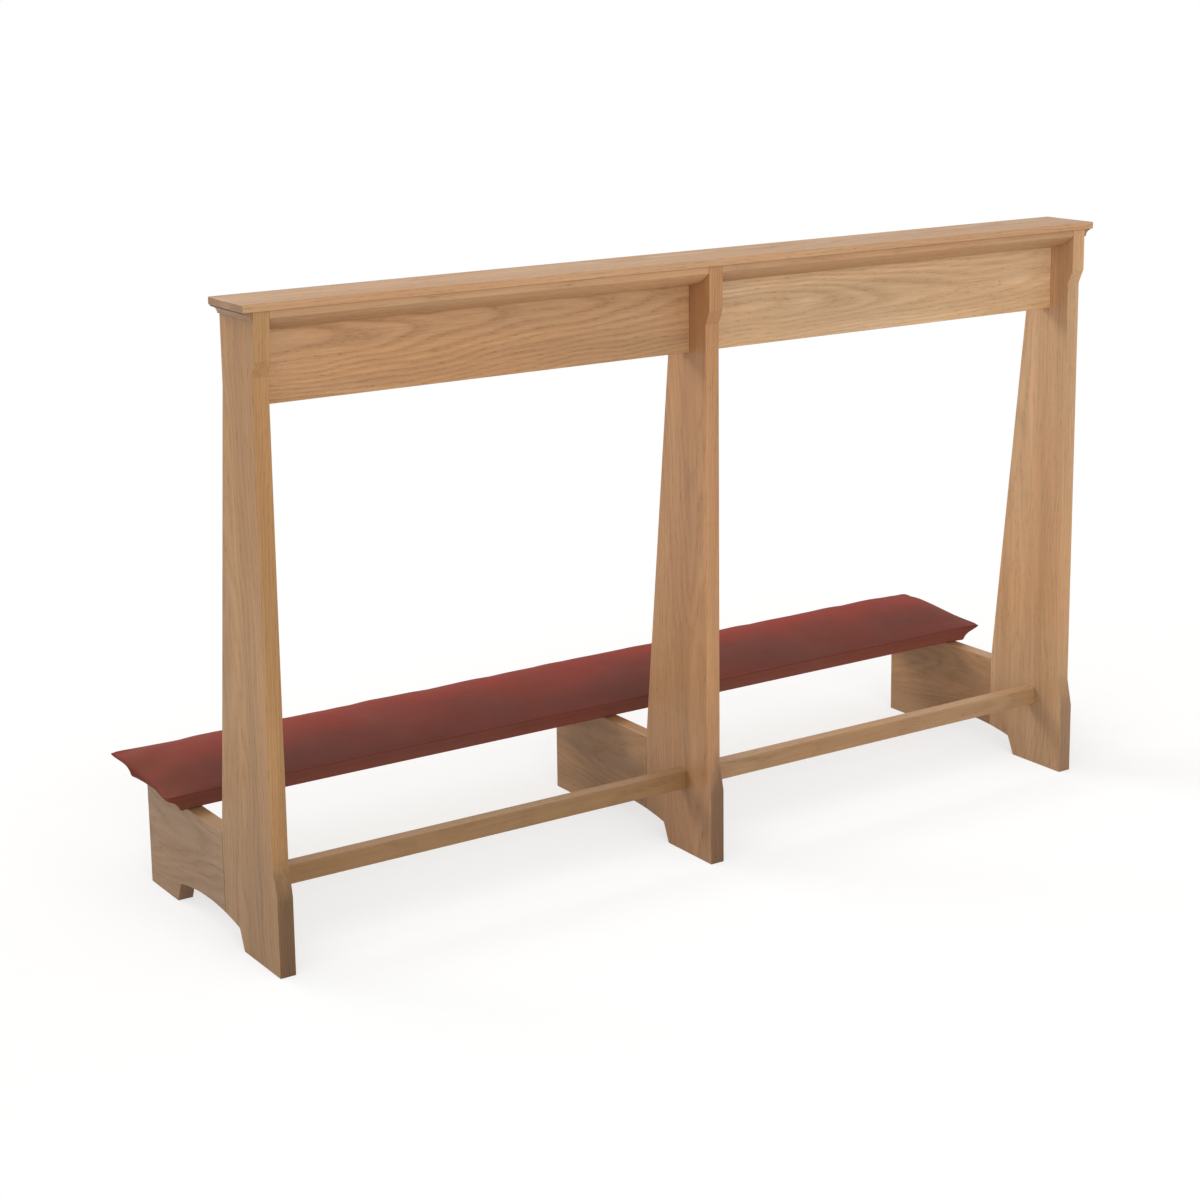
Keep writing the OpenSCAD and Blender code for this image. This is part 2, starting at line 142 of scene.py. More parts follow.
class Graph:
    """A node tree that is built from its inputs to its output."""

    def __init__(self, tree):
        self.tree = tree
        tree.nodes.clear()

    def add(self, kind, inputs=None, **settings):
        node = self.tree.nodes.new(kind)
        for key, value in settings.items():
            setattr(node, key, value)
        for key, value in (inputs or {}).items():
            self.put(node.inputs[key], value)
        return node

    def put(self, socket, value):
        if isinstance(value, bpy.types.NodeSocket):
            self.tree.links.new(value, socket)
        else:
            socket.default_value = value

    def math(self, operation, a, b=0.0, c=0.0, clamp=False):
        node = self.add("ShaderNodeMath", operation=operation, use_clamp=clamp)
        for socket, value in zip(node.inputs, (a, b, c)):
            self.put(socket, value)
        return node.outputs[0]

    def vector(self, operation, a, b=(0.0, 0.0, 0.0)):
        node = self.add("ShaderNodeVectorMath", operation=operation)
        self.put(node.inputs[0], a)
        self.put(node.inputs[1], b)
        scalar = operation in ("DOT_PRODUCT", "LENGTH")
        return node.outputs["Value" if scalar else "Vector"]

    def combine(self, x, y, z):
        node = self.add("ShaderNodeCombineXYZ", {"X": x, "Y": y, "Z": z})
        return node.outputs[0]

    def noise(self, vector, scale=1.0, detail=2.0, roughness=0.5):
        node = self.add(
            "ShaderNodeTexNoise",
            {
                "Vector": vector,
                "Scale": scale,
                "Detail": detail,
                "Roughness": roughness,
            },
        )
        return node.outputs[0]

    def remap(self, value, low, high, to_low=0.0, to_high=1.0, smooth=False):
        node = self.add(
            "ShaderNodeMapRange",
            {
                "Value": value,
                "From Min": low,
                "From Max": high,
                "To Min": to_low,
                "To Max": to_high,
            },
            interpolation_type="SMOOTHSTEP" if smooth else "LINEAR",
        )
        return node.outputs[0]

    def ramp(self, value, stops):
        node = self.add("ShaderNodeValToRGB", {"Fac": value})
        elements = node.color_ramp.elements
        while len(elements) < len(stops):
            elements.new(0.5)
        for element, (place, colour) in zip(elements, stops):
            element.position = place
            element.color = colour
        return node.outputs["Color"]

    def mix(self, factor, a, b, blend="MIX"):
        node = self.add("ShaderNodeMix", data_type="RGBA", blend_type=blend)
        self.put(node.inputs[0], factor)
        self.put(node.inputs[6], a)
        self.put(node.inputs[7], b)
        return node.outputs[2]

    def gain(self, tone, level):
        """The tone, lighter or darker by a level."""
        return self.vector("MULTIPLY", tone, self.combine(level, level, level))

    def tint(self, share, tone, factors):
        """The tone, with its red, green and blue multiplied by the factors where share is 1."""
        return self.mix(share, tone, self.vector("MULTIPLY", tone, factors))

    def edges(self, radius):
        """1 on rounded and sharp outer edges, 0 on flat faces."""
        worn = self.add("ShaderNodeBevel", {"Radius": radius}, samples=6)
        true = self.add("ShaderNodeNewGeometry")
        along = self.vector("DOT_PRODUCT", worn.outputs[0], true.outputs["Normal"])
        return self.remap(along, 0.998, 0.93, smooth=True)

    def seen(self):
        """1 for camera, glossy and transmission rays."""
        path = self.add("ShaderNodeLightPath")
        two = self.math(
            "MAXIMUM",
            path.outputs["Is Camera Ray"],
            path.outputs["Is Glossy Ray"],
        )
        return self.math("MAXIMUM", two, path.outputs["Is Transmission Ray"])

    def surface(self, tone, roughness, height, strength, distance, more=None):
        """Ends a material in a surface with a bump of this height; more sets other inputs by their names."""
        bump = self.add(
            "ShaderNodeBump",
            {"Strength": strength, "Distance": distance, "Height": height},
        )
        shader = self.add(
            "ShaderNodeBsdfPrincipled",
            {
                "Base Color": tone,
                "Roughness": roughness,
                "Normal": bump.outputs[0],
                **(more or {}),
            },
        )
        self.add("ShaderNodeOutputMaterial", {"Surface": shader.outputs[0]})


def new_material(name):
    material = bpy.data.materials.new(name)
    material.use_nodes = True
    return material, Graph(material.node_tree)


def grey(level):
    return (level, level, level, 1.0)


def scaled(colour, factor):
    """A lighter or darker colour of the same hue."""
    return tuple(min(1.0, c * factor) for c in colour[:3]) + (1.0,)


def make_world():
    """White where it is seen, and a softer light on the object that comes mostly from above."""
    world = bpy.data.worlds.new("studio")
    bpy.context.scene.world = world
    world.use_nodes = True
    g = Graph(world.node_tree)
    place = g.add("ShaderNodeTexCoord").outputs["Generated"]
    height = g.vector("DOT_PRODUCT", place, (-0.25, 0.0, 0.97))
    sky = g.ramp(
        g.remap(height, -0.6, 0.8),
        [(0.0, grey(0.30)), (0.45, grey(0.48)), (1.0, grey(0.86))],
    )
    light = g.add("ShaderNodeBackground", {"Color": sky, "Strength": 1.0})
    white = g.add("ShaderNodeBackground", {"Color": grey(1.0), "Strength": 1.0})
    both = g.add(
        "ShaderNodeMixShader",
        {0: g.seen(), 1: light.outputs[0], 2: white.outputs[0]},
    )
    g.add("ShaderNodeOutputWorld", {"Surface": both.outputs[0]})


def make_floor():
    """A pale floor that keeps the object's shadow and runs out into the white background."""
    mesh = bpy.data.meshes.new("floor")
    half = FLOOR_HALF
    mesh.from_pydata(
        [(-half, -half, 0), (half, -half, 0), (half, half, 0), (-half, half, 0)],
        [],
        [(0, 1, 2, 3)],
    )
    floor = bpy.data.objects.new("floor", mesh)
    bpy.context.scene.collection.objects.link(floor)
    material, g = new_material("pale floor")
    place = g.add("ShaderNodeTexCoord").outputs["Object"]
    far = g.vector("LENGTH", place)
    mottle = g.noise(place, 30.0, 3.0)
    unseen_paint = g.mix(mottle, srgb(198, 196, 192), srgb(204, 202, 199))
    seen_paint = g.mix(mottle, srgb(247, 247, 246), srgb(251, 251, 250))
    paint = g.mix(g.seen(), unseen_paint, seen_paint)
    matt = g.add("ShaderNodeBsdfDiffuse", {"Color": paint, "Roughness": 1.0})
    glow = g.add("ShaderNodeEmission", {"Color": grey(1.0), "Strength": 1.0})
    share = g.math("MULTIPLY", g.seen(), g.remap(far, 1.0, 2.4, 0.60, 1.0, True))
    both = g.add(
        "ShaderNodeMixShader", {0: share, 1: matt.outputs[0], 2: glow.outputs[0]}
    )
    g.add("ShaderNodeOutputMaterial", {"Surface": both.outputs[0]})
    floor.data.materials.append(material)


# ---------------------------------------------------------------- materials


def ring_directions(grain, across, tilt, lean):
    """Across a board, through it and along its heart line, which runs nearly along the grain."""
    along, wide = Vector(grain), Vector(across)
    thick = wide.cross(along)
    turn = thick * math.tan(math.radians(tilt)) + wide * math.tan(math.radians(lean))
    axis = (along + turn).normalized()
    side = (wide - axis * wide.dot(axis)).normalized()
    return side, axis.cross(side), axis


def year_rings(g, u, v, ring):
    """Growth rings round the heart line: 1 in the dense summer wood, near 0 in the porous wood of spring."""
    radius = g.vector("LENGTH", g.combine(u, v, 0.0))
    phase = g.math("MULTIPLY", radius, 1.0 / ring)
    part = g.math("FRACT", phase)
    year = g.add(
        "ShaderNodeTexWhiteNoise", {"W": g.math("FLOOR", phase)}, noise_dimensions="1D"
    ).outputs["Value"]
    summer = g.ramp(
        part,
        [
            (0.0, grey(0.30)),
            (0.12, grey(0.08)),
            (0.34, grey(0.45)),
            (0.66, grey(1.0)),
            (0.90, grey(0.80)),
            (1.0, grey(0.30)),
        ],
    )
    return g.math("MULTIPLY", summer, g.remap(year, 0.0, 1.0, 0.75, 1.0))


def sawn_ends(g, tone, normal, grain):
    """Darker where the grain is cut across, which takes up more varnish."""
    cut = g.math("ABSOLUTE", g.vector("DOT_PRODUCT", normal, grain))
    return g.tint(g.remap(cut, 0.78, 0.95, smooth=True), tone, (0.68, 0.66, 0.67))


def handled_top(g, tone, place, normal, amount):
    """Darker on the upper face, where hands and sleeves lie."""
    upward = g.vector("DOT_PRODUCT", normal, (0.0, 0.0, 1.0))
    upward = g.remap(upward, 0.5, 0.9, smooth=True)
    touched = g.noise(g.vector("MULTIPLY", place, (4.0, 16.0, 16.0)), 1.0, 3.0)
    touched = g.math("MULTIPLY", g.remap(touched, 0.32, 0.68, 0.8, 1.0), amount)
    touched = g.math("MULTIPLY", touched, upward)
    return g.tint(touched, tone, (0.72, 0.68, 0.56))


def soiled_foot(g, tone, place, normal, soil, foot_front_darkening):
    """Darker towards the floor, and darkest on the front of a foot."""
    z = g.vector("DOT_PRODUCT", place, (0.0, 0.0, 1.0))
    blotch = g.noise(g.vector("MULTIPLY", place, (34.0, 34.0, 13.0)), 1.0, 3.0, 0.6)
    ragged = g.math("MULTIPLY_ADD", g.math("SUBTRACT", blotch, 0.5), 0.10, z)
    low = g.math("MULTIPLY", g.remap(ragged, 0.34, 0.05, smooth=True), soil)
    ahead = g.vector("DOT_PRODUCT", normal, (0.0, -1.0, 0.0))
    ahead = g.remap(ahead, 0.55, 0.9, smooth=True)
    front_of_foot = g.math("MULTIPLY", g.remap(ragged, 0.165, 0.105, smooth=True), ahead)
    front_of_foot = g.math("MULTIPLY", front_of_foot, foot_front_darkening)
    tone = g.tint(low, tone, (0.50, 0.49, 0.50))
    return g.tint(front_of_foot, tone, (0.36, 0.36, 0.42))


def timber(
    name,
    grain,
    across,
    centre,
    light,
    dark,
    ring=0.0042,
    heart=0.08,
    tilt=1.2,
    lean=0.3,
    offset=0.0,
    rings=1.0,
    pores=1.0,
    streaks=1.0,
    rough=0.42,
    shine=0.36,
    soil=0.0,
    foot_front_darkening=0.0,
    handled=0.0,
):
    """Sawn timber as a solid texture: growth rings round a heart line that runs nearly along the grain.

    grain and across are the directions along the board and across its face, and centre is near its middle.
    heart is how far off the centre that line lies through the board's thickness, and offset how far across;
    tilt and lean turn it, in degrees, which is what makes the pointed arches. ring is the width of a year's
    growth. rings, pores and streaks set how strongly each shows. Two settings darken the board towards the
    floor and the front of a foot, and handled the upper face.
    """
    material, g = new_material(name)
    place = g.add("ShaderNodeTexCoord").outputs["Object"]
    p = g.vector("SUBTRACT", place, centre)
    directions = ring_directions(grain, across, tilt, lean)
    u, v, w = [g.vector("DOT_PRODUCT", p, tuple(d)) for d in directions]
    # A place of its own in the noise for each board
    x, y, z = (abs(c) for c in centre)
    shift = 3.7 * (x + 2.1 * y + 5.3 * z) + len(name)
    u_off = g.math("ADD", u, -offset)
    v_off = g.math("ADD", v, heart)

    def stretched(across_scale, along_scale, extra):
        return g.combine(
            g.math("MULTIPLY", u, across_scale),
            g.math("MULTIPLY", v, across_scale),
            g.math("MULTIPLY_ADD", w, along_scale, shift + extra),
        )

    bend = g.noise(stretched(7.0, 2.6, 0.0), detail=2.0)
    kink = g.noise(stretched(26.0, 6.0, 11.0), detail=1.0)
    u_bent = g.math("MULTIPLY_ADD", g.math("SUBTRACT", bend, 0.5), 0.06, u_off)
    v_bent = g.math("MULTIPLY_ADD", g.math("SUBTRACT", kink, 0.5), 0.014, v_off)
    summer = year_rings(g, u_bent, v_bent, ring)
    # The rings are clear in some stretches of a board and fade in others
    clear = g.noise(stretched(11.0, 1.6, 23.0))
    clear = g.remap(clear, 0.36, 0.62, 0.25 * rings, rings, True)
    body = g.math("SUBTRACT", summer, 0.62)
    body = g.math("MULTIPLY_ADD", body, clear, 0.62, clamp=True)
    tone = g.mix(body, dark, light)
    fibre = g.noise(stretched(420.0, 7.0, 3.0), detail=3.0, roughness=0.6)
    broad = g.noise(stretched(34.0, 1.1, 5.0), detail=2.0)
    patch = g.noise(stretched(9.0, 3.0, 8.0), detail=2.0)
    tone = g.gain(tone, g.remap(fibre, 0.3, 0.7, 1.0 - 0.10 * streaks, 1.0 + 0.07 * streaks))
    tone = g.gain(tone, g.remap(broad, 0.3, 0.7, 1.0 - 0.13 * streaks, 1.0 + 0.09 * streaks))
    warm = g.remap(patch, 0.35, 0.65, -0.04, 0.04)
    less_green = g.math("SUBTRACT", 1.0, warm)
    less_blue = g.math("MULTIPLY_ADD", warm, -2.2, 1.0)
    tone = g.vector("MULTIPLY", tone, g.combine(1.0, less_green, less_blue))
    cells = g.noise(stretched(1500.0, 60.0, 17.0), detail=1.0)
    open_pores = g.remap(cells, 0.56, 0.70, smooth=True)
    spring = g.remap(summer, 0.75, 0.1, 0.18, 1.0)
    open_pores = g.math("MULTIPLY", open_pores, g.math("MULTIPLY", spring, pores))
    tone = g.mix(g.math("MULTIPLY", open_pores, 0.55), tone, scaled(dark, 0.45))
    uneven = g.remap(g.noise(place, 24.0), 0.35, 0.65, 0.25, 1.0)
    worn = g.math("MULTIPLY", g.edges(0.0035), uneven)
    tone = g.mix(g.math("MULTIPLY", worn, 0.35), tone, scaled(light, 1.18))
    normal = g.add("ShaderNodeNewGeometry").outputs["True Normal"]
    tone = sawn_ends(g, tone, normal, grain)
    if handled:
        tone = handled_top(g, tone, place, normal, handled)
    if soil or foot_front_darkening:
        tone = soiled_foot(g, tone, place, normal, soil, foot_front_darkening)
    height = g.math("MULTIPLY_ADD", open_pores, -0.9, g.math("MULTIPLY", fibre, 0.35))
    height = g.math("MULTIPLY_ADD", summer, 0.16, height)
    gloss = g.math("MULTIPLY_ADD", g.math("SUBTRACT", 0.6, summer), 0.10, rough)
    gloss = g.math("MULTIPLY_ADD", open_pores, 0.15, gloss)
    gloss = g.math("MULTIPLY_ADD", worn, 0.08, gloss)
    g.surface(tone, gloss, height, 0.35, 0.0006, {"Specular IOR Level": shine})
    return material


def plywood(name, light, dark, glue, bottom, plies, thickness):
    """Birch plywood: a plain face, and its plies on the edges, counted up from bottom."""
    material, g = new_material(name)
    place = g.add("ShaderNodeTexCoord").outputs["Object"]
    split = g.add("ShaderNodeSeparateXYZ", {"Vector": place})
    x, y, z = split.outputs
    face = g.noise(
        g.combine(g.math("MULTIPLY", x, 2.2), g.math("MULTIPLY", y, 34.0), z),
        detail=3.0,
    )
    fine = g.noise(g.vector("MULTIPLY", place, (20.0, 900.0, 900.0)), detail=2.0)
    tone = g.mix(g.remap(face, 0.3, 0.7), dark, light)
    layer = g.math("MULTIPLY", g.math("SUBTRACT", z, bottom), plies / thickness)
    parity = g.math("MODULO", g.math("FLOOR", layer), 2.0)
    joint = g.remap(g.math("PINGPONG", layer, 0.5), 0.0, 0.10, 1.0, 0.0)
    edge = g.mix(parity, light, scaled(dark, 0.62))
    edge = g.mix(g.math("MULTIPLY", joint, 0.7), edge, glue)
    normal = g.add("ShaderNodeNewGeometry").outputs["Normal"]
    flat = g.math("ABSOLUTE", g.vector("DOT_PRODUCT", normal, (0.0, 0.0, 1.0)))
    tone = g.mix(g.remap(flat, 0.4, 0.6), edge, tone)
    tone = g.mix(g.remap(fine, 0.35, 0.7, 0.0, 0.22), tone, dark)
    worn = g.edges(0.002)
    tone = g.mix(g.math("MULTIPLY", worn, 0.3), tone, light)
    g.surface(tone, g.remap(fine, 0.3, 0.7, 0.58, 0.74), fine, 0.25, 0.0004)
    return material


def zinc_steel(name):
    """Zinc plate on steel, with faint spangle and fine scratches."""
    material, g = new_material(name)
    place = g.add("ShaderNodeTexCoord").outputs["Object"]
    spangle = g.noise(place, 1400.0, 3.0)
    scratch = g.noise(g.vector("MULTIPLY", place, (4000.0, 300.0, 300.0)), 1.0, 1.0)
    tone = g.mix(g.remap(spangle, 0.35, 0.65), srgb(168, 166, 160), srgb(198, 196, 190))
    worn = g.edges(0.0006)
    tone = g.mix(g.math("MULTIPLY", worn, 0.4), tone, srgb(222, 220, 214))
    gloss = g.remap(spangle, 0.3, 0.7, 0.32, 0.48)
    g.surface(tone, gloss, scratch, 0.2, 0.0001, {"Metallic": 1.0})
    return material


def cover_cloth(name, light, dark, painted_shade_tone, side_painted_light, pitch, sheen):
    """A close woven upholstery cloth with a short nap.

    The top is light and dark at the back, with painted shade towards the front and at its left end, and
    painted light down its front side. Painted light makes it a little paler to the right.
    """
    material, g = new_material(name)
    place = g.add("ShaderNodeTexCoord").outputs["Object"]
    split = g.add("ShaderNodeSeparateXYZ", {"Vector": place})
    x, y, z = split.outputs
    normal = g.add("ShaderNodeNewGeometry").outputs["Normal"]
    ends = g.math("ABSOLUTE", g.vector("DOT_PRODUCT", normal, (1.0, 0.0, 0.0)))
    flat = g.math("ABSOLUTE", g.vector("DOT_PRODUCT", normal, (0.0, 0.0, 1.0)))
    on_end = g.math("GREATER_THAN", ends, 0.72)
    on_top = g.math("GREATER_THAN", flat, 0.55)

    def either(switch, a, b):
        return g.math("ADD", a, g.math("MULTIPLY", switch, g.math("SUBTRACT", b, a)))

    drift = g.noise(place, 9.0, 2.0)
    wander = g.math("MULTIPLY", g.math("SUBTRACT", drift, 0.5), 0.004)
    u = g.math("ADD", either(on_end, x, y), wander)
    v = g.math("SUBTRACT", either(on_top, z, y), wander)
    warp = g.math("SINE", g.math("MULTIPLY", u, 2 * math.pi / pitch))
    weft = g.math("SINE", g.math("MULTIPLY", v, 2 * math.pi / pitch))
    weave = g.math("MULTIPLY", warp, weft)
    slub = g.combine(g.math("MULTIPLY", u, 60.0), g.math("MULTIPLY", v, 700.0), z)
    slub = g.noise(slub, detail=2.0)
    nap = g.noise(place, 14.0, 3.0, 0.55)
    brushed = g.noise(g.vector("MULTIPLY", place, (5.0, 16.0, 16.0)), 1.0, 2.0)
    brush_drift = g.noise(g.vector("MULTIPLY", place, (6.0, 20.0, 6.0)), 1.0, 2.0)
    fuzz = g.noise(place, 1900.0, 2.0)
    tone = g.mix(g.remap(nap, 0.3, 0.7), dark, light)
    drifted = g.math("MULTIPLY_ADD", g.math("SUBTRACT", brush_drift, 0.5), 0.05, y)
    # Painted shade: the front of the top is darker, as if it falls away from the light
    tone = g.mix(g.remap(drifted, PAD_Y + 0.022, PAD_Y - 0.062, smooth=True), tone, painted_shade_tone)
    # Painted light: the front side is lighter where it faces forward
    side = g.vector("DOT_PRODUCT", normal, (0.0, -1.0, 0.0))
    side = g.remap(side, 0.62, 0.88, smooth=True)
    tone = g.mix(side, tone, side_painted_light)
    # Painted light and shade: darker to the left, lighter to the right, and the front lighter still
    near = g.remap(drifted, PAD_Y, PAD_Y - 0.062, smooth=True)
    near = g.math("MAXIMUM", side, near)
    to_right = g.remap(x, -0.05, 0.45, smooth=True)
    near_gain = g.math("MULTIPLY", near, g.remap(to_right, 0.0, 1.0, 0.08, 0.20))
    tone = g.gain(tone, g.math("ADD", g.remap(to_right, 0.0, 1.0, 0.92, 1.02), near_gain))
    # Painted shade: the left end darker and browner
    along = g.math("ADD", x, wander)
    tone = g.mix(g.remap(along, -0.60, -0.69, 0.0, 0.35), tone, painted_shade_tone)
    tone = g.tint(g.remap(along, -0.64, -0.70, smooth=True), tone, (0.84, 0.98, 0.70))
    tone = g.mix(g.remap(brushed, 0.4, 0.68, 0.0, 0.30), tone, scaled(light, 1.16))
    tone = g.mix(g.remap(weave, -1.0, 1.0, 0.20, 0.0), tone, scaled(dark, 0.55))
    tone = g.mix(g.remap(slub, 0.5, 0.75, 0.0, 0.16), tone, scaled(light, 1.3))
    tone = g.mix(g.remap(fuzz, 0.35, 0.65, 0.16, 0.0), tone, scaled(dark, 0.6))
    tone = g.mix(g.math("MULTIPLY", g.edges(0.006), 0.22), tone, scaled(light, 1.45))
    height = g.math("MULTIPLY_ADD", fuzz, 0.5, g.math("MULTIPLY", weave, 0.5))
    short_nap = {
        "Specular IOR Level": 0.3,
        "Sheen Weight": sheen,
        "Sheen Roughness": 0.45,
        "Sheen Tint": srgb(214, 110, 90),
    }
    g.surface(tone, g.remap(nap, 0.3, 0.7, 0.80, 0.95), height, 0.45, 0.0005, short_nap)
    return material


# ---------------------------------------------------------------- the CAD's boards


def ease_edges(node, width):
    """Joins the mesh's faces again and rounds its edges a little, all in modifiers."""
    weld = node.modifiers.new("weld", "WELD")
    weld.merge_threshold = 1e-5
    plain = node.modifiers.new("plain faces", "DECIMATE")
    plain.decimate_type = "DISSOLVE"
    plain.angle_limit = math.radians(0.5)
    bevel = node.modifiers.new("eased edges", "BEVEL")
    bevel.limit_method = "ANGLE"
    bevel.angle_limit = math.radians(28)
    bevel.width = width
    bevel.segments = 2
    bevel.use_clamp_overlap = False
    bevel.harden_normals = True


def dress(node, material):
    """The material on every slot of a CAD node."""
    for slot in node.material_slots:
        slot.material = material


def oak(nodes, name, grain, across, centre, tones, **more):
    """Dresses a CAD node in oak of a light and a dark tone."""
    label = "oak " + name.replace("_", " ")
    dress(nodes[name], timber(label, grain, across, centre, *tones, **more))


def beech(nodes, name, label, grain, across, centre):
    """Dresses a CAD node's dowels in plain beech."""
    light, dark = srgb(222, 190, 150), srgb(204, 166, 124)
    dowel = timber(label, grain, across, centre, light, dark, ring=0.003, pores=0.2, rings=0.5)
    dress(nodes[name], dowel)


def dress_frame(nodes):
    """Oak in each board's own tone, as in the photograph, and the hidden dowels, base board and screws."""
    up, front, side = (0, 0, 1), (0, 1, 0), (1, 0, 0)
    uprights = {
        "left": (srgb(190, 144, 95), srgb(169, 126, 80)),
        "middle": (srgb(201, 152, 107), srgb(181, 132, 90)),
        "right": (srgb(215, 171, 128), srgb(195, 151, 108)),
    }
    # Each upright's heart line, and how much darker the front of its foot is
    upright_grain = {
        "left": {"heart": 0.11, "tilt": 0.9, "offset": 0.02, "foot_front_darkening": 0.78},
        "middle": {"heart": -0.13, "tilt": 1.3, "offset": -0.035, "foot_front_darkening": 0.78},
        "right": {"heart": 0.10, "tilt": -1.0, "offset": 0.03, "foot_front_darkening": 0.50},
    }
    # The foot blocks are their own darker oak, darkened further: painted shade under the pad
    blocks = {
        "left": (srgb(174, 136, 97), srgb(153, 116, 80)),
        "middle": (srgb(184, 140, 97), srgb(163, 120, 80)),
        "right": (srgb(194, 149, 106), srgb(172, 128, 88)),
    }
    for where, x in FRAME_X.items():
        grain = upright_grain[where]
        oak(nodes, where + "_upright", up, front, (x, -0.14, 0.42), uprights[where],
            ring=0.0034, lean=0.6, rings=0.42, streaks=1.2, soil=0.4, **grain)
        oak(nodes, where + "_foot_block", front, up, (x, 0.06, 0.07), blocks[where],
            ring=0.0036, heart=-grain["heart"], tilt=2.2, lean=-1.5, offset=0.03, rings=0.4, soil=0.25)
        beech(nodes, where + "_frame_dowels", "beech " + where + " dowels", front, up, (x, -0.06, 0.09))

    cap = timber("oak cap", side, front, (0.03, -0.17, 0.845), srgb(212, 166, 124), srgb(192, 147, 107),
                 heart=-0.07, tilt=0.7, lean=0.3, offset=0.02, rings=0.4, shine=0.2, handled=1.0)
    dress(nodes["cap_rail"], cap)
    beech(nodes, "cap_dowels", "beech cap dowels", up, side, (0, -0.17, 0.83))

    aprons = {
        "left": (srgb(204, 159, 115), srgb(173, 128, 87)),
        "right": (srgb(231, 192, 149), srgb(203, 161, 119)),
    }
    apron_grain = {
        "left": {"heart": 0.034, "tilt": 2.6, "offset": 0.018},
        "right": {"heart": -0.045, "tilt": -2.2, "offset": -0.012},
    }
    rails = {
        "left": (srgb(160, 123, 84), srgb(138, 103, 66)),
        "right": (srgb(187, 147, 107), srgb(162, 122, 84)),
    }
    mould = srgb(207, 161, 118), srgb(185, 141, 100)
    # The left end mould is darker than the right: painted shade at the cap's left end
    ends = {"left": (srgb(186, 145, 108), srgb(167, 127, 91)), "right": mould}
    for where, x, end_x in (("left", -0.33, -0.68), ("right", 0.36, 0.68)):
        oak(nodes, where + "_apron", side, up, (x, -0.16, 0.78), aprons[where],
            ring=0.0056, lean=0.8, rings=0.6, streaks=1.2, **apron_grain[where])
        oak(nodes, where + "_bed_mould", side, up, (x, -0.20, 0.825), mould, heart=0.09, tilt=0.6, rings=0.35)
        oak(nodes, where + "_stretcher", side, up, (x, -0.148, 0.109), rails[where],
            heart=0.06, tilt=1.1, rings=0.42)
        oak(nodes, where + "_end_mould", front, up, (end_x, -0.17, 0.835), ends[where],
            heart=0.05, tilt=1.0, rings=0.35)

    board = plywood("birch plywood", srgb(214, 184, 142), srgb(190, 156, 112), srgb(96, 66, 42),
                    bottom=LEDGE_Z, plies=9, thickness=BOARD_TOP_Z - LEDGE_Z)
    dress(nodes["kneeler_base_board"], board)
    dress(nodes["kneeler_screws"], zinc_steel("zinc steel"))
    soft_or_small = ("kneeler_foam", "kneeler_cover", "kneeler_screws")
    for name, node in nodes.items():
        if name not in soft_or_small and "dowels" not in name:
            ease_edges(node, PLYWOOD_BEVEL if name == "kneeler_base_board" else OAK_BEVEL)


# ---------------------------------------------------------------- the pad


def pad_surface(u, v):
    """The CAD's top surface at shares u and v of the half length and half depth."""
    waist_x = DRAWN_IN * (1 - abs(v) ** 3) * abs(u) ** 8
    waist_y = DRAWN_IN * (1 - abs(u) ** 24) * abs(v) ** 4
    edge = FRONT_EDGE + (REAR_EDGE - FRONT_EDGE) * (v + 1) / 2
    swell = CROWN * (1 - abs(u) ** 24) * (1 - abs(v) ** 2.6)
    return Vector(
        (
            u * PAD_A - math.copysign(waist_x, u),
            PAD_Y + v * PAD_B - math.copysign(waist_y, v),
            LEDGE_Z + edge + swell,
        )
    )


def pad_side(u, v, down, inward):
    """A point of the side below the sewn edge, at a share of the way down and of the undercut."""
    p = pad_surface(u, v)
    x = p.x - math.copysign(abs(u) ** 8 * END_UNDERCUT * inward, u)
    y = p.y - math.copysign(abs(v) ** 4 * SIDE_UNDERCUT * inward, v)
    return Vector((x, y, p.z + (PAD_FLOOR_Z - p.z) * down))


def crowded(count, even, bent):
    """Shares from -1 to 1, closer together towards both ends."""
    spread = np.linspace(-1, 1, count)
    return even * spread + bent * np.sin(spread * math.pi / 2)


def once_round(last_i, last_j):
    """The outer points of a grid in order, as pairs of their places in it."""
    return (
        [(i, 0) for i in range(last_i)]
        + [(last_i, j) for j in range(last_j)]
        + [(i, last_j) for i in range(last_i, 0, -1)]
        + [(0, j) for j in range(last_j, 0, -1)]
    )


def keep_sharp(mesh, low, high, corners):
    """Keeps the edges along the base board sharp when the mesh is divided.

    low and high are the points round the board's underside and round its top, corners those of low's corners.
    """
    sharp = mesh.attributes.new("crease_edge", "FLOAT", "EDGE").data
    for k, e in enumerate(mesh.edges):
        pair = set(e.vertices)
        if pair <= low or pair <= high or (pair & corners and pair & high):
            sharp[k].value = 1.0


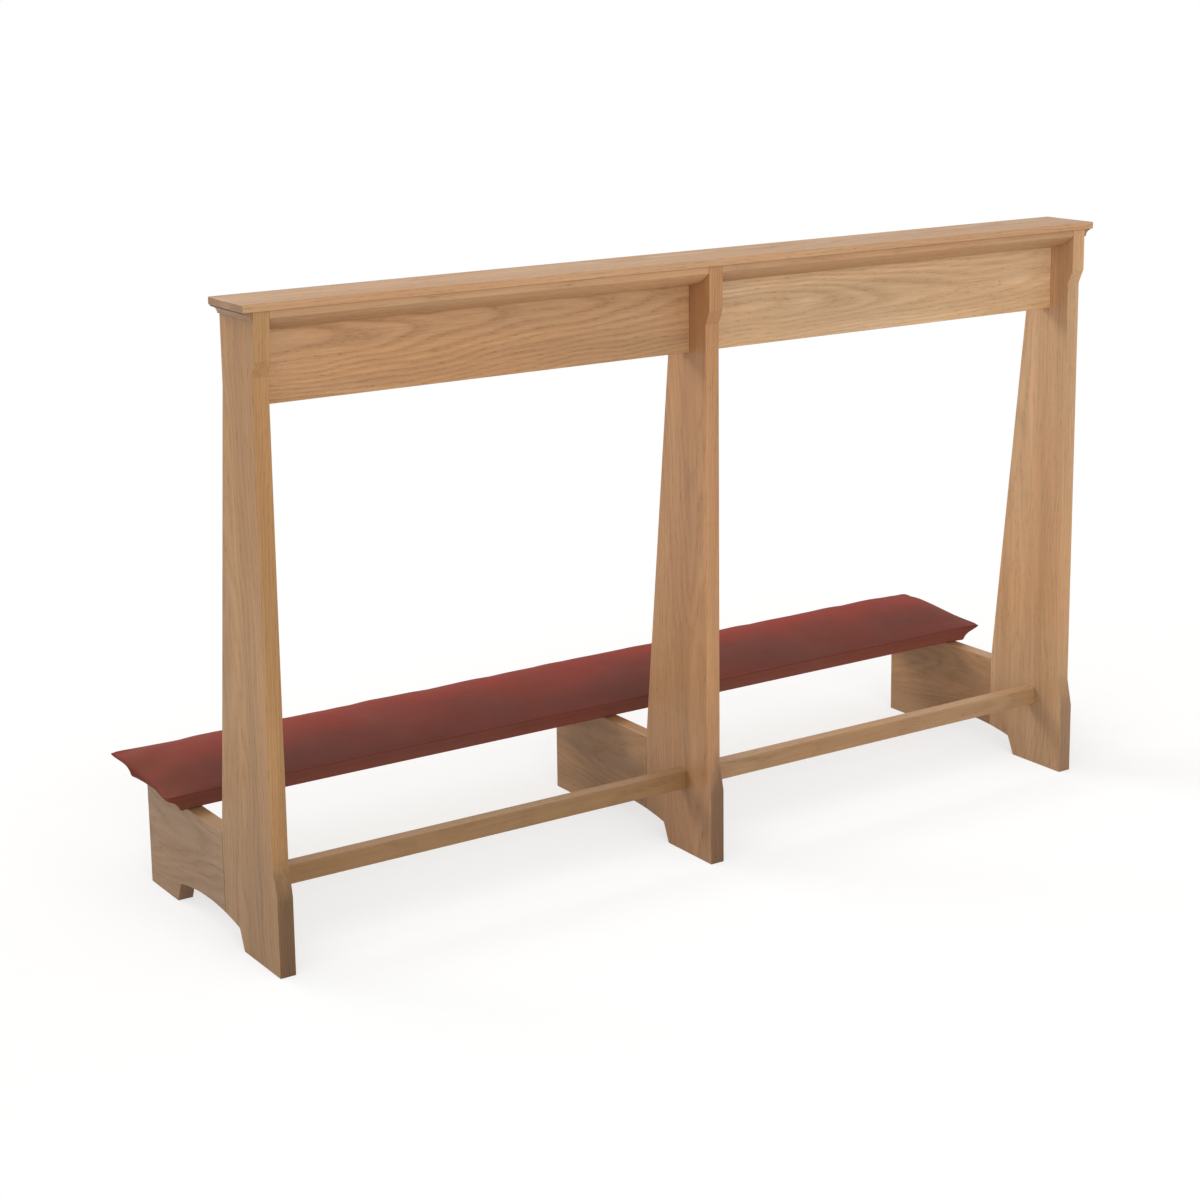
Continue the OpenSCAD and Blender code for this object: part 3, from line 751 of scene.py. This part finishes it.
def pad_start_mesh():
    """A closed grid: the top, lowered by the height left for it to swell, the drawn-in sides, the underside.

    The underside turns in below the edge of the base board and passes over it, as the foam does. Also gives
    the points that the simulation holds: the sewn edge, and all that lies on the board.
    """
    us = crowded(PAD_POINTS_ALONG, 0.72, 0.28)
    vs = crowded(PAD_POINTS_ACROSS, 0.6, 0.4)
    last_i, last_j = len(us) - 1, len(vs) - 1
    points, faces = [], []

    def grid(place):
        first = len(points)
        for v in vs:
            points.extend(place(float(u), float(v)) for u in us)
        return lambda i, j: first + j * len(us) + i

    def lowered(u, v):
        p = pad_surface(u, v)
        reach = min((1 - abs(u)) * PAD_A, (1 - abs(v)) * PAD_B) / 0.030
        p.z -= PAD_SWELL * min(1.0, reach) * (2 - min(1.0, reach))
        return p

    top = grid(lowered)
    rim = once_round(last_i, last_j)
    rings = [[top(i, j) for i, j in rim]]
    for down, inward in PAD_SIDE:
        first = len(points)
        points.extend(pad_side(float(us[i]), float(vs[j]), down, inward) for i, j in rim)
        rings.append(list(range(first, len(points))))

    def by_board(i, j, z):
        x = float(us[i]) * (BOARD_A + BOARD_ROOM)
        y = PAD_Y + float(vs[j]) * (BOARD_B + BOARD_ROOM)
        return Vector((x, y, z))

    for z in (PAD_FLOOR_Z, BOARD_TOP_Z + BOARD_ROOM):
        first = len(points)
        points.extend(by_board(i, j, z) for i, j in rim)
        rings.append(list(range(first, len(points))))
    for upper, lower in zip(rings, rings[1:]):
        for k in range(len(rim)):
            n = (k + 1) % len(rim)
            faces.append((upper[k], lower[k], lower[n], upper[n]))
    under = dict(zip(rim, rings[-1]))
    for j in range(last_j + 1):
        for i in range(last_i + 1):
            if (i, j) not in under:
                under[i, j] = len(points)
                points.append(by_board(i, j, BOARD_TOP_Z + BOARD_ROOM))
    for j in range(last_j):
        for i in range(last_i):
            faces.append((top(i, j), top(i + 1, j), top(i + 1, j + 1), top(i, j + 1)))
            faces.append((under[i, j], under[i, j + 1], under[i + 1, j + 1], under[i + 1, j]))
    mesh = bpy.data.meshes.new("kneeler_pad")
    mesh.from_pydata([tuple(p) for p in points], [], faces)
    mesh.validate()
    low, high = set(rings[-2]), set(rings[-1])
    corners = {rings[-2][k] for k, (i, j) in enumerate(rim) if i in (0, last_i) and j in (0, last_j)}
    keep_sharp(mesh, low, high, corners)
    lowest = {k for k, p in enumerate(points) if p.z < BOARD_TOP_Z - 0.001}
    held = sorted(set(rings[0]) | low | high | set(under.values()) | lowest)
    return mesh, held


def coordinates(mesh):
    """The mesh's points as rows of x, y and z."""
    co = np.zeros(len(mesh.vertices) * 3, np.float32)
    mesh.vertices.foreach_get("co", co)
    return co.reshape(-1, 3).astype(float)


def set_coordinates(mesh, co):
    mesh.vertices.foreach_set("co", co.astype(np.float32).ravel())
    mesh.update()


def bake_modifiers(obj):
    """The object's mesh as its modifiers leave it, and no modifiers."""
    graph = bpy.context.evaluated_depsgraph_get()
    obj.data = bpy.data.meshes.new_from_object(obj.evaluated_get(graph))
    obj.modifiers.clear()


def make_pad():
    """The pad, swollen by the simulation, divided once and made a little uneven."""
    mesh, held = pad_start_mesh()
    pad = bpy.data.objects.new("kneeler_pad", mesh)
    bpy.context.scene.collection.objects.link(pad)
    swell_pad(pad, held)
    divide = pad.modifiers.new("finer", "SUBSURF")
    divide.levels = divide.render_levels = 1
    bpy.context.view_layer.update()
    bake_modifiers(pad)
    co = coordinates(pad.data)
    broad = np.array([noise.noise(Vector((x * 9, y * 14, z * 14))) for x, y, z in co])
    small = np.array([noise.noise(Vector((x * 33, y * 40, z * 40))) for x, y, z in co])
    above_board = np.clip((co[:, 2] - BOARD_TOP_Z) / 0.02, 0, 1)
    co[:, 2] += (broad * BROAD_SWELL + small * SMALL_SWELL) * above_board
    co[:, 2] = np.maximum(co[:, 2], PAD_FLOOR_Z)
    set_coordinates(pad.data, co)
    for polygon in pad.data.polygons:
        polygon.use_smooth = True
    return pad


def swell_pad(pad, held):
    """Blows the pad up against its cloth, evens the movement out and limits how far a point goes."""
    start = coordinates(pad.data)
    group = pad.vertex_groups.new(name="held")
    group.add(held, 1.0, "REPLACE")
    cloth = pad.modifiers.new("cloth", "CLOTH")
    settings = cloth.settings
    settings.quality = 6
    settings.mass = 0.3
    settings.tension_stiffness = settings.compression_stiffness = 14
    settings.shear_stiffness = 6
    settings.bending_stiffness = 0.5
    settings.shrink_min = -0.01
    settings.use_pressure = True
    settings.uniform_pressure_force = 4
    settings.effector_weights.gravity = 0
    settings.vertex_group_mass = group.name
    cloth.collision_settings.use_collision = False
    cloth.collision_settings.use_self_collision = False
    cloth.point_cache.frame_start = 1
    cloth.point_cache.frame_end = SWELL_FRAMES
    scene = bpy.context.scene
    for frame_number in range(1, SWELL_FRAMES + 1):
        scene.frame_set(frame_number)
    graph = bpy.context.evaluated_depsgraph_get()
    result = bpy.data.meshes.new_from_object(pad.evaluated_get(graph))
    moved = coordinates(result)
    bpy.data.meshes.remove(result)
    pad.modifiers.clear()
    scene.frame_set(1)
    step = moved - start
    ends = np.array([tuple(e.vertices) for e in pad.data.edges])
    meets = np.bincount(ends.ravel(), minlength=len(start))[:, None]
    for _ in range(SWELL_EVENINGS):
        around = np.zeros_like(step)
        np.add.at(around, ends[:, 0], step[ends[:, 1]])
        np.add.at(around, ends[:, 1], step[ends[:, 0]])
        step = 0.5 * step + 0.5 * around / meets
        step[held] = 0
    length = np.linalg.norm(step, axis=1, keepdims=True)
    step *= np.minimum(1.0, PAD_SWELL_MOST / np.maximum(length, 1e-9))
    set_coordinates(pad.data, start + step)


def seam_line(pad):
    """The sewn edge of the pad's top, once round, on the finished surface."""
    polygons = [tuple(p.vertices) for p in pad.data.polygons]
    tree = BVHTree.FromPolygons([v.co for v in pad.data.vertices], polygons)
    shares = (
        [(u, -1.0) for u in np.linspace(-1, 1, SEAM_POINTS_ALONG)[:-1]]
        + [(1.0, v) for v in np.linspace(-1, 1, SEAM_POINTS_ACROSS)[:-1]]
        + [(u, 1.0) for u in np.linspace(1, -1, SEAM_POINTS_ALONG)[:-1]]
        + [(-1.0, v) for v in np.linspace(1, -1, SEAM_POINTS_ACROSS)[:-1]]
    )
    line = []
    for u, v in shares:
        place, normal, _, _ = tree.find_nearest(pad_surface(float(u), float(v)))
        line.append(np.array(place + normal * SEAM_LIFT))
    line = np.array(line)
    for _ in range(SEAM_EVENINGS):
        line = 0.5 * line + 0.25 * (np.roll(line, 1, 0) + np.roll(line, -1, 0))
    return line


def tube(name, line, radius, sides):
    """A closed tube along a closed line."""
    n = len(line)
    points, faces = [], []
    ahead = np.roll(line, -1, 0) - np.roll(line, 1, 0)
    ahead /= np.linalg.norm(ahead, axis=1, keepdims=True)
    for p, t in zip(line, ahead):
        side = np.cross(t, (0, 0, 1.0))
        side /= np.linalg.norm(side)
        above = np.cross(side, t)
        for k in range(sides):
            angle = 2 * math.pi * k / sides
            points.append(tuple(p + radius * (math.cos(angle) * side + math.sin(angle) * above)))
    for i in range(n):
        for k in range(sides):
            a, b = i * sides, ((i + 1) % n) * sides
            faces.append((a + k, a + (k + 1) % sides, b + (k + 1) % sides, b + k))
    mesh = bpy.data.meshes.new(name)
    mesh.from_pydata(points, [], faces)
    for polygon in mesh.polygons:
        polygon.use_smooth = True
    obj = bpy.data.objects.new(name, mesh)
    bpy.context.scene.collection.objects.link(obj)
    return obj


def make_kneeler():
    """The pad in place of the CAD's foam and cover, and its sewn edge."""
    pad = make_pad()
    cover = cover_cloth(
        "red cover cloth",
        light=srgb(139, 53, 42),
        dark=srgb(123, 46, 35),
        painted_shade_tone=srgb(95, 57, 48),
        side_painted_light=srgb(128, 77, 64),
        pitch=WEAVE_PITCH,
        sheen=0.15,
    )
    pad.data.materials.clear()
    pad.data.materials.append(cover)
    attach(pad, "root")
    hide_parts("kneeler_cover", "kneeler_foam")

    seam = tube("kneeler_seam", seam_line(pad), SEAM_RADIUS, sides=8)
    # The seam's cloth is the cover's in darker tones: painted shade along the sewn edge
    seam_cloth = cover_cloth(
        "red seam cloth",
        light=srgb(124, 48, 39),
        dark=srgb(106, 41, 33),
        painted_shade_tone=srgb(82, 43, 34),
        side_painted_light=srgb(100, 56, 46),
        pitch=SEAM_PITCH,
        sheen=0.1,
    )
    seam.data.materials.append(seam_cloth)
    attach(seam, "root")


# ---------------------------------------------------------------- the scene

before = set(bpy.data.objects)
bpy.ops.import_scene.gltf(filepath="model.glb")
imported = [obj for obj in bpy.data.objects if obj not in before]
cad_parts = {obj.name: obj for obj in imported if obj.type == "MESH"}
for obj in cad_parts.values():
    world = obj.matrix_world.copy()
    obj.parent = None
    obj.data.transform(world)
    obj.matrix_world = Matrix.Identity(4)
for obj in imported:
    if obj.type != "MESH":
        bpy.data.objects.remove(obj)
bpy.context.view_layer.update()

bpy.context.scene.view_settings.view_transform = "Standard"
make_camera()
make_world()
make_floor()
make_lights()
dress_frame(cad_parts)
make_kneeler()
